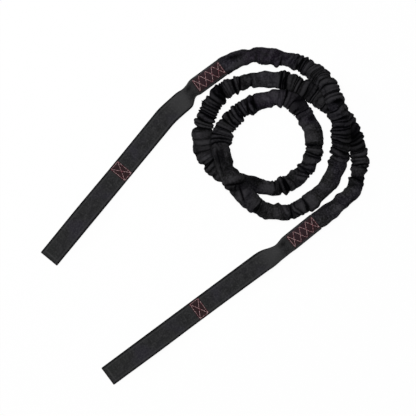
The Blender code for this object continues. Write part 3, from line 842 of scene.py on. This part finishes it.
def webbing_section(turn):
    """Place on the strip's rounded section, once round: across it and proud of its middle."""
    flat = WEBBING_WIDTH - WEBBING_THICKNESS
    half_lap = flat + math.pi * HALF_PLY
    w = (turn % 1.0) * 2 * half_lap
    face = np.where(w < half_lap, 1.0, -1.0)
    w = w % half_lap
    bend = np.maximum(0.0, w - flat) / HALF_PLY
    v = np.minimum(w, flat) - flat / 2 + HALF_PLY * np.sin(bend)
    return face * v, face * HALF_PLY * np.cos(bend)


def strap_shape(end):
    """Shape of one webbing strip: out along the lower ply, round the fold, back along the upper."""
    out = np.append(heading(end["lies"]), 0.0)

    def shape(turn, way):
        run = way * STRIP_LENGTH
        v, proud = webbing_section(turn)
        fold = np.clip((run - STRIP_RUN) / FOLD_RADIUS, 0.0, math.pi)
        returning = run > STRIP_RUN + math.pi * FOLD_RADIUS
        folding = (fold > 0.0) & ~returning
        outward = np.where(folding | returning, 1.0, -1.0)
        u = np.where(returning, STRIP_LENGTH - run, run) - SEWN_LENGTH - TAIL_MARGIN
        flat_u = np.minimum(u, STRAP_LENGTH - FOLD_RADIUS)
        middle = ply_height(end, flat_u, returning)
        plain = on_strap(end, flat_u, v, middle, outward, np.where(folding, 0.0, proud))
        bent = plain + ((FOLD_RADIUS + proud) * np.sin(fold))[:, None] * out
        bent[:, 2] = HALF_PLY + FOLD_RADIUS - (FOLD_RADIUS + proud) * np.cos(fold)
        points = np.where(folding[:, None], bent, plain)
        sag = layer("sag", run, turn * math.tau)
        points[:, 2] = np.maximum(points[:, 2] + np.where(returning, sag, 0.0), STRAP_OFF_FLOOR)
        pinch = bell(u, *PINCH_ALONG) * bell(v, *PINCH_ACROSS) * (returning & (proud > 0))
        points[:, 2] -= PINCH_DEPTH * pinch
        out_to = np.abs(v) / (WEBBING_WIDTH / 2)
        # Painted shade at the edges, in the pinch and round the bend
        edge = np.maximum(eased(out_to, *EDGE_DARK), pinch * PINCH_DARK)
        edge = np.maximum(edge, eased(np.sin(fold), *BEND_DARK) * folding)
        # Painted highlights: light lines along the edges and by the end, and a pale stretch where the
        # ply opens past the neck
        lines = np.maximum(bell(out_to, *BORDER), bell(u, *END_LINE)) * (out_to < BORDER_STOP)
        opened = eased(u, *TURNS_PALE) - eased(u, *TURNS_BACK)
        painted = {
            "edge": edge,
            "pale": np.maximum(lines, opened),
            "stitched": stained_by_thread(u, v, proud),
        }
        return points, np.stack([v, run], -1), painted
    return shape


def zigzag(u, v):
    """Distance from the row of crosses at u and v on the sewn end."""
    pitch = SEWN_LENGTH / CROSSES
    half = CROSS_WIDTH / 2
    phase = np.clip(-u / pitch, 0.0, CROSSES)
    saw = np.abs((phase % 2.0) - 1.0) * 2.0 - 1.0
    slope = math.cos(math.atan2(CROSS_WIDTH, pitch))
    first = np.abs(v - half * saw) * slope
    second = np.abs(v + half * saw) * slope
    bars = np.minimum(np.abs(u), np.abs(u + SEWN_LENGTH))
    off = np.maximum(0.0, np.maximum(u, -u - SEWN_LENGTH))
    return np.minimum(np.minimum(first, second) + off, bars + np.maximum(0.0, np.abs(v) - half))


def stained_by_thread(u, v, proud):
    """How much thread shows in the weave: round the crosses and the box."""
    dv = np.abs(v)
    past, beside = CROSS_MARGINS
    crosses = bell(zigzag(u, v), 0.0, CROSS_REACH) * CROSS_STAIN
    inside = (u < past) & (u > -SEWN_LENGTH - past) & (dv < CROSS_WIDTH / 2 + beside)
    crosses = np.where(inside, np.maximum(crosses, CROSS_GROUND), crosses)
    du = np.abs(u - BOX_PLACE)
    slant = np.abs(dv / (BOX_WIDTH / 2) - du / (BOX_LENGTH / 2)) * DIAGONAL_SPREAD
    rim = np.minimum(np.abs(du - BOX_LENGTH / 2), np.abs(dv - BOX_WIDTH / 2))
    inside = (du < BOX_LENGTH / 2 + BOX_MARGIN) & (dv < BOX_WIDTH / 2 + BOX_MARGIN)
    box = (BOX_GROUND + BOX_STAIN * bell(np.minimum(slant, rim), 0.0, BOX_REACH)) * inside
    return np.where(proud > 0, np.maximum(crosses, box), 0.0)


# Stitching

def stitch_run(end, corners, upward, lift):
    """Points of a line of stitches between corners (u, v): up over each stitch, down at its ends."""
    outward = 1.0 if upward else -1.0
    seat = HALF_PLY + THREAD / 2
    points = []
    for (u0, v0), (u1, v1) in zip(corners, corners[1:]):
        stitches = max(1, round(math.hypot(u1 - u0, v1 - v0) / STITCH))
        steps = stitches * STITCH_STEPS
        t = np.arange(steps) / steps
        u = u0 + (u1 - u0) * t
        v = v0 + (v1 - v0) * t
        hump = np.abs(np.sin(math.pi * stitches * t)) ** STITCH_HUMP
        proud = seat + lift - STITCH_DIP * (1.0 - hump)
        points.append(on_strap(end, u, v, ply_height(end, u, upward), outward, proud))
    return np.concatenate(points)


def thread_line(name, points, finish):
    """A thread of round section along points."""
    lengths = running_lengths(points)
    tangents = unit(np.gradient(points, axis=0))
    sides = unit(np.cross(tangents, (0.0, 0.0, 1.0)))
    ups = np.cross(sides, tangents)
    rings = len(points)

    def shape(turn, way):
        k = np.rint(way * (rings - 1)).astype(int)
        a = turn * math.tau
        out = sides[k] * np.cos(a)[:, None] + ups[k] * np.sin(a)[:, None]
        cloth = np.stack([turn * math.pi * THREAD, lengths[k]], -1)
        return points[k] + out * THREAD / 2, cloth, {}
    return tube(name, THREAD_SIDES, rings, shape, finish, capped=True)


def cross_runs():
    """The row of crosses: one zigzag with a bar at each end, and another over it."""
    half = CROSS_WIDTH / 2
    pitch = SEWN_LENGTH / CROSSES
    first = [(-k * pitch, half if k % 2 else -half) for k in range(CROSSES + 1)]
    second = [(u, -v) for u, v in first]
    with_bars = [second[0]] + first + [second[-1]]
    return [("first_pass", with_bars, 0.0), ("second_pass", second, SECOND_PASS_LIFT)]


def box_runs():
    """The box: its frame, and its two diagonals over it."""
    u0 = BOX_PLACE - BOX_LENGTH / 2
    u1 = BOX_PLACE + BOX_LENGTH / 2
    v = BOX_WIDTH / 2
    corners = [(u0, -v), (u1, -v), (u1, v), (u0, v)]
    runs = [("frame", corners + [corners[0]], 0.0)]
    for k in (0, 1):
        runs.append((f"diagonal_{k + 1}", [corners[k], corners[k + 2]], DIAGONAL_LIFT * (k + 1)))
    return runs


def sew(pattern, runs, upward, body, letter, end, finish):
    """A pattern's threads on one side of the webbing: needle thread on top, bobbin thread below."""
    side = "needle" if upward else "bobbin"
    for title, corners, lift in runs:
        points = stitch_run(end, corners, upward, lift)
        thing = thread_line(f"{pattern}_{side}_{title}_{letter}", points, finish)
        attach(thing, body)
        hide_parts(f"{pattern}_{side}_thread_{letter}")


# The line that the sleeve and the tube lie along

def natural_spline(points, steps=14):
    """Smooth curve through points, bending as evenly as a rod would."""
    p = np.array(points, float)
    h = np.diff(running_lengths(p))[:, None]
    slopes = np.diff(p, axis=0) / h
    count = len(p)
    system = np.eye(count)
    right = np.zeros_like(p)
    for k in range(1, count - 1):
        system[k, k - 1:k + 2] = h[k - 1, 0], 2 * (h[k - 1, 0] + h[k, 0]), h[k, 0]
        right[k] = 6 * (slopes[k] - slopes[k - 1])
    bend = np.linalg.solve(system, right)
    a = (np.arange(steps) / steps)[None, :, None]
    b = 1.0 - a
    h = h[:, None]
    curved = ((b ** 3 - b) * bend[:-1, None] + (a ** 3 - a) * bend[1:, None]) * h * h / 6
    line = (b * p[:-1, None] + a * p[1:, None] + curved).reshape(-1, 3)
    return np.vstack([line, p[-1]])


def tightness(along):
    return along_keys(GATHERS, along * 1000)


def crest_half_width(along):
    return LIE_SMOOTH + (LIE_CREST - LIE_SMOOTH) * tightness(along)


def centre_line():
    """Points of the sleeve's middle from inside sewn end A to inside sewn end B, with their lengths."""
    inside = np.linspace(TUBE_STOP, SEWN_LENGTH, HELD_POINTS)
    straight = np.append(-inside, -SEWN_LENGTH - LEAD_OUT)
    held = float(crest_half_width(0.0)) * SLEEVE_FLATNESS
    ends = []
    for end in ENDS.values():
        plan = np.array(end["mouth"]) + (straight[:, None] + SEWN_LENGTH) * heading(end["leaves"])
        ends.append(np.column_stack([plan, np.full(len(straight), AXIS_HEIGHT - held)]))
    points = natural_spline(np.vstack([ends[0], np.array(ROUTE) / 1000, ends[1][::-1]]))
    mouth = SEWN_LENGTH - TUBE_STOP
    along = running_lengths(points) - mouth
    points[:, 2] = np.maximum(0.0, points[:, 2]) + crest_half_width(along) * SLEEVE_FLATNESS
    return points, running_lengths(points) - mouth


LINE, LENGTHS = centre_line()
FREE_LENGTH = float(LENGTHS[-1]) - (SEWN_LENGTH - TUBE_STOP)
TANGENTS = unit(np.gradient(LINE, axis=0))


def station(along):
    """Middle, direction, side and up of the sleeve at distances from mouth A."""
    middle = np.stack([np.interp(along, LENGTHS, LINE[:, k]) for k in range(3)], -1)
    tangent = unit(np.stack([np.interp(along, LENGTHS, TANGENTS[:, k]) for k in range(3)], -1))
    side = unit(np.cross((0.0, 0.0, 1.0), tangent))
    return middle, tangent, side, np.cross(tangent, side)


# Folds of the sleeve's cloth

TABLE = np.linspace(-TABLE_MARGIN, FREE_LENGTH + TABLE_MARGIN, TABLE_PLACES)


def counted(pitch):
    """How many folds lie before each place of the table, closer together where gathered tightly."""
    loose, tight = pitch
    rate = 1.0 / (loose + (tight - loose) * tightness(TABLE))
    return np.concatenate([[0.0], np.cumsum((rate[1:] + rate[:-1]) / 2 * np.diff(TABLE))])


LOBE_COUNT = counted(LOBE_PITCH)
FOLD_COUNT = counted(FOLD_PITCH)


def pinched(phase, angle, seed, weakest, width, sharpness):
    """Sharp valleys between rounded ridges: how deep in a valley each place is, and its painted shade.
    """
    rng = np.random.RandomState(seed)
    strength = rng.uniform(weakest, 1.0, MOST_FOLDS)
    deepest = rng.uniform(0.0, math.tau, MOST_FOLDS)
    spread = rng.uniform(*FOLD_FADE, MOST_FOLDS)
    k = np.clip(np.rint(phase).astype(int) + FIRST_FOLD, 0, MOST_FOLDS - 1)
    strong = strength[k] * (1.0 - spread[k] * (0.5 - 0.5 * np.cos(angle - deepest[k])))
    wave = np.abs(np.sin(math.pi * phase))
    return (1.0 - wave ** sharpness) * strong, eased(wave, width, 0.0) * strong


def creased(along, angle):
    """Depth of the single creases, from 0 to 1 across each, and in metres."""
    share = depth = np.zeros_like(along)
    for place, side, lean, deep in CREASES:
        facing = CREASE_EVEN + (1.0 - CREASE_EVEN) * np.cos(angle - math.radians(side))
        across = bell(along - lean / 1000 * np.cos(angle), place / 1000, CREASE_WIDTH) * facing
        share = np.maximum(share, across)
        depth = np.maximum(depth, across * deep / 1000)
    return share, depth


def folded_along(along, angle):
    """Depth of the long folds, from 0 to 1 across each and in metres, and the ridge beside them."""
    share = depth = ridge = np.zeros_like(along)
    sway = layer("long folds", along)
    for (s0, a0), (s1, a1), deep in LONG_FOLDS:
        way = (along * 1000 - s0) / (s1 - s0)
        away = (angle - math.radians(a0) - math.radians(a1 - a0) * way) * SLEEVE_DIAMETER / 2 + sway
        held = eased(way, *LONG_FOLD_STARTS) * eased(way, *LONG_FOLD_STOPS)
        across = bell(away, 0.0, LONG_FOLD_WIDTH) * held
        strength = min(1.0, deep / LONG_FOLD_FULL)
        share = np.maximum(share, across * strength)
        depth = np.maximum(depth, across * deep / 1000)
        ridge = np.maximum(ridge, bell(away, *RIDGE) * held * strength)
    return share, depth, ridge


def shaded(along, angle):
    """How much other turns shade the sleeve."""
    dark = np.zeros_like(along)
    for place, side, reach, amount in SHADES:
        near = smooth(1.0 - np.abs(along * 1000 - place) / reach)
        dark = np.maximum(dark, amount * near * (0.5 + 0.5 * np.cos(angle - math.radians(side))))
    return dark


def swelled(along, angle):
    """Height of the single bulges and dents of the two sides."""
    height = np.zeros_like(along)
    for side, facing in (("left", np.cos(angle)), ("right", -np.cos(angle))):
        for place, out, reach in SWELLS[side]:
            near = smooth(1.0 - np.abs(along * 1000 - place) / reach)
            height += out / 1000 * near * np.clip(facing, 0.0, 1.0) ** SWELL_FOCUS
    return height


def seam_height(along, angle):
    """The lengthwise seam that closes the sleeve: a narrow welt with a groove beside it."""
    away = (angle - SEAM_AT - layer("seam", along) + math.pi) % math.tau - math.pi
    reach = away * SLEEVE_DIAMETER / 2
    return bell(reach, *WELT) * WELT_HEIGHT - bell(reach, *GROOVE) * GROOVE_DEPTH


def strayed(along, count, spacing, shares, strays):
    """Number of folds before each place, uneven in their spacing and in how they lie."""
    even = np.interp(along, TABLE, count)
    return sum((share * stray for share, stray in zip(shares, strays)), even + layer(spacing, along))


def slackness(crinkle, pleats, per_crinkle, per_pleat, start, most):
    return np.clip(crinkle * per_crinkle + pleats * per_pleat - start, 0.0, most)


def gathered_cloth(along, angle):
    """Height of the gathered cloth over its smooth form, the shift along it, its painted shade and
    highlights.
    """
    tight = tightness(along)
    loose = 1.0 - tight
    calm = along_keys(CALM, along * 1000)
    lean = layer("lean left", along) * np.cos(angle) + layer("lean up", along) * np.sin(angle)
    strays = (lean, layer("drift", along, angle), layer("wobble", along, angle))
    lobes = strayed(along, LOBE_COUNT, "lobe spacing", LOBE_STRAY, strays)
    fine = strayed(along, FOLD_COUNT, "fold spacing", FOLD_STRAY, strays)
    lobe_depth, lobe_dark = np.array(pinched(lobes, angle, *LOBE_FORM)) * calm
    fold_depth, fold_dark = pinched(fine, angle, *FOLD_FORM)
    puff = np.minimum(1.0, np.abs(layer("puffs", along, angle)) * PUFF_FULL) ** PUFF_ROUNDNESS
    lumps = layer("lumps", along, angle)
    crinkle = layer("crinkle", along + CRINKLE_SLANT * np.sin(angle + CRINKLE_SIDE), angle)
    pleats = layer("pleats", along, angle) + layer("fine pleats", along, angle)
    dents = np.minimum(0.0, layer("dents", along, angle) + DENT_SHARE) * DENT_DEPTH
    crease_share, crease_depth = creased(along, angle)
    long_share, long_depth, ridge = folded_along(along, angle)

    gathers = GATHER_LIFT - LOBE_DEPTH * lobe_depth - FOLD_DEPTH * fold_depth
    gathers += (puff - 0.5) * PUFF_HEIGHT + layer("waves", along, angle)
    height = tight * gathers + loose * (crinkle * CRINKLE_HEIGHT + pleats + dents)
    height += lumps * LUMP_HEIGHT + layer("ruffles", along, angle)
    height += ridge * RIDGE_HEIGHT - crease_depth - long_depth
    shift = -LOBE_SHIFT * np.sin(math.tau * lobes) * tight

    # Painted shade: in fold valleys, between puffs, in creases and long folds, in the low places of
    # slack cloth, on the tube's sides, darker where tightly gathered, and where other turns shade it
    folded = lobe_dark * LOBE_DARK + fold_dark * FOLD_DARK + np.clip(PUFF_EDGE - puff, 0.0, 1.0)
    folded = np.clip(folded, 0.0, 1.0) * np.clip(tight * GATHER_DARK, 0.0, 1.0)
    cut = np.clip(np.maximum(crease_share, long_share * LONG_FOLD_DARK) * CREASE_DARK, 0.0, 1.0)
    slack = loose * slackness(-crinkle, -pleats, *SLACK_DARK)
    side = SIDE_DARK * eased(np.abs(np.sin(angle)), SIDE_DARK_REACH, 0.0)
    painted_shade = np.maximum(np.maximum(folded, cut), np.maximum(slack, side))
    painted_shade = 1.0 - (1.0 - painted_shade) * (1.0 - TIGHT_DARK * tight) * (1.0 - shaded(along, angle))

    # Painted highlights: on the gathered crests, the high places of slack cloth, lumps and the ridges
    # beside long folds
    painted_highlight = np.clip(1.0 - CREST_FADE * (lobe_depth + fold_depth), 0.0, 1.0) * tight
    painted_highlight *= CREST_LEAST + (1.0 - CREST_LEAST) * puff
    painted_highlight += loose * slackness(crinkle, pleats, *SLACK_LIGHT)
    painted_highlight += np.clip(lumps, 0.0, 1.0) * LUMP_LIGHT + ridge * RIDGE_LIGHT
    return height, shift, painted_shade, np.clip(painted_highlight, 0.0, 1.0)


# Sleeve and tube

def kept_clear(points, along, middles):
    """Points pushed back where another turn lies against this one, and the painted shade there."""
    places = np.arange(0.0, FREE_LENGTH, NEIGHBOUR_STEP)
    others = station(places)[0]
    touching = np.zeros(len(points))
    for low in range(0, len(points), POINTS_AT_ONCE):
        part = slice(low, low + POINTS_AT_ONCE)
        own = np.abs(along[part][:, None] - places[None]) < OWN_STRETCH
        gaps = np.linalg.norm(middles[part][:, None] - others[None], axis=2)
        gaps[own] = NEVER_NEAR
        nearest = np.argmin(gaps, axis=1)
        distance = gaps[np.arange(len(nearest)), nearest]
        toward = (others[nearest] - middles[part]) / distance[:, None]
        out = points[part] - middles[part]
        reach = np.einsum("ij,ij->i", out, toward)
        over = reach - (distance / 2 - TURN_ROOM)
        pressed = eased(reach / np.linalg.norm(out, axis=1), *PRESSED_FACING)
        pressed *= eased(over, *PRESSED_OVER) * eased(distance, *PRESSED_APART)
        over = np.where(over > 0.0, over, over * pressed)
        over[distance > NEIGHBOUR_REACH] = 0.0
        points[part] -= toward * over[:, None]
        apart = np.linalg.norm(points[part][:, None] - others[None], axis=2)
        apart[own] = NEVER_NEAR
        # Painted shade on the cloth close to another turn
        touching[part] = TOUCH_DARK * eased(np.min(apart, axis=1), *TOUCH_APART)
    return points, touching


def sleeve_shape(start, stop):
    """Shape of the sleeve between two distances from mouth A."""
    def shape(turn, way):
        along = start + (stop - start) * way
        angle = turn * math.tau
        free = eased(np.minimum(along, FREE_LENGTH - along), *MOUTH_FLARE)
        height, shift, painted_shade, painted_highlight = gathered_cloth(along, angle)
        height += seam_height(along, angle) * (1.0 - SEAM_TUCK * tightness(along))
        height += swelled(along, angle)
        half = along_keys(WIDTHS, along * 1000) / 1000
        wide = HELD_WIDTH + (half - HELD_WIDTH) * free
        wide = np.clip(wide + height * free, LEAST_WIDE, MOST_WIDE)
        high = HELD_HEIGHT + (half * SLEEVE_FLATNESS - HELD_HEIGHT) * free
        least_high = HELD_HEIGHT + (LEAST_HIGH - HELD_HEIGHT) * free
        high = np.maximum(high + height * UPWARD_SHARE * free, least_high)
        middle, tangent, side, up = station(along)
        middle += side * (layer("sway", along) * free)[:, None]
        points = middle + side * (wide * np.cos(angle))[:, None] + up * (high * np.sin(angle))[:, None]
        points += tangent * (shift * free)[:, None]
        points, touching = kept_clear(points, along, middle)
        points[:, 2] = np.maximum(points[:, 2], SLEEVE_OFF_FLOOR)
        cloth = np.stack([turn * SLEEVE_ROUND, along], -1)
        # Painted shade of the folds and where turns touch, and painted highlights on the crests
        return points, cloth, {"painted_shade": np.maximum(painted_shade, touching) * free, "painted_highlight": painted_highlight * free}
    return shape


def tube_shape(start, stop):
    """Shape of the latex tube inside the sleeve."""
    def shape(turn, way):
        along = start + (stop - start) * way
        angle = turn * math.tau
        free = smooth((np.minimum(along, FREE_LENGTH - along) - TAIL_MARGIN) / TUBE_FLARE)
        wide = TUBE_HELD_WIDTH + (TUBE_DIAMETER / 2 - TUBE_HELD_WIDTH) * free
        high = TUBE_HELD_HEIGHT + (TUBE_DIAMETER / 2 - TUBE_HELD_HEIGHT) * free
        middle, _, side, up = station(along)
        points = middle + side * (wide * np.cos(angle))[:, None] + up * (high * np.sin(angle))[:, None]
        return points, np.stack([turn * math.pi * TUBE_DIAMETER, along], -1), {}
    return shape


def valley_near(along):
    """Distance from mouth A of the fold valley next to a place."""
    places = np.linspace(along - VALLEY_SEARCH, along + VALLEY_SEARCH, VALLEY_PLACES)
    angles = np.linspace(0.0, math.tau, VALLEY_SIDES, endpoint=False)
    deep = [float(np.mean(gathered_cloth(np.full(VALLEY_SIDES, p), angles)[0])) for p in places]
    return float(places[int(np.argmin(deep))])


def dress_sleeve():
    cloth = sleeve_finish()
    latex = latex_finish()
    inner_end = -(SEWN_LENGTH - TUBE_STOP)
    split_a = valley_near(END_PIECE)
    split_b = valley_near(FREE_LENGTH - END_PIECE)
    spans = (
        ("end_a", inner_end, split_a),
        ("coil", split_a, split_b),
        ("end_b", split_b, FREE_LENGTH - inner_end),
    )
    for title, start, stop in spans:
        rings = max(2, round((stop - start) / RING_STEP))
        inner_rings = max(2, rings // TUBE_RING_SHARE)
        sleeve = tube("sleeve_" + title, SLEEVE_SIDES, rings, sleeve_shape(start, stop), cloth)
        inner = tube("latex_tube_" + title, TUBE_SIDES, inner_rings, tube_shape(start, stop), latex)
        for piece, slot, node in ((sleeve, "sleeve_fabric", "sleeve"), (inner, "latex", "latex_tube")):
            if title == "coil":
                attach(piece, "band")
            else:
                letter = title[-1]
                near = 0.0 if letter == "a" else FREE_LENGTH
                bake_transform(piece)
            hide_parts(node)


def dress_straps():
    webbing = webbing_finish()
    red = thread_finish()
    sides = 2 * PLY_ACROSS + 2 * EDGE_ROUND
    rings = round(STRIP_LENGTH / STRIP_STEP)
    for letter, end in ENDS.items():
        strip = tube("strap_" + letter, sides, rings, strap_shape(end), webbing, capped=True)
        near = strap_line(end, np.array([FOLD_START]))[0][0]
        far = near + heading(end["leaves"]) * (FOLD_END - FOLD_START)
        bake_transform(strip)
        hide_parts("upper_tail_" + letter, "lower_tail_" + letter, "webbing_loops_" + letter)
        for upward in (True, False):
            sew("crosses", cross_runs(), upward, "end_" + letter, letter, end, red)
            sew("box", box_runs(), upward, "strap_" + letter, letter, end, red)


bpy.context.scene.view_settings.view_transform = "Standard"
place_camera()
dress_sleeve()
dress_straps()
lay_floor()
light_the_studio()
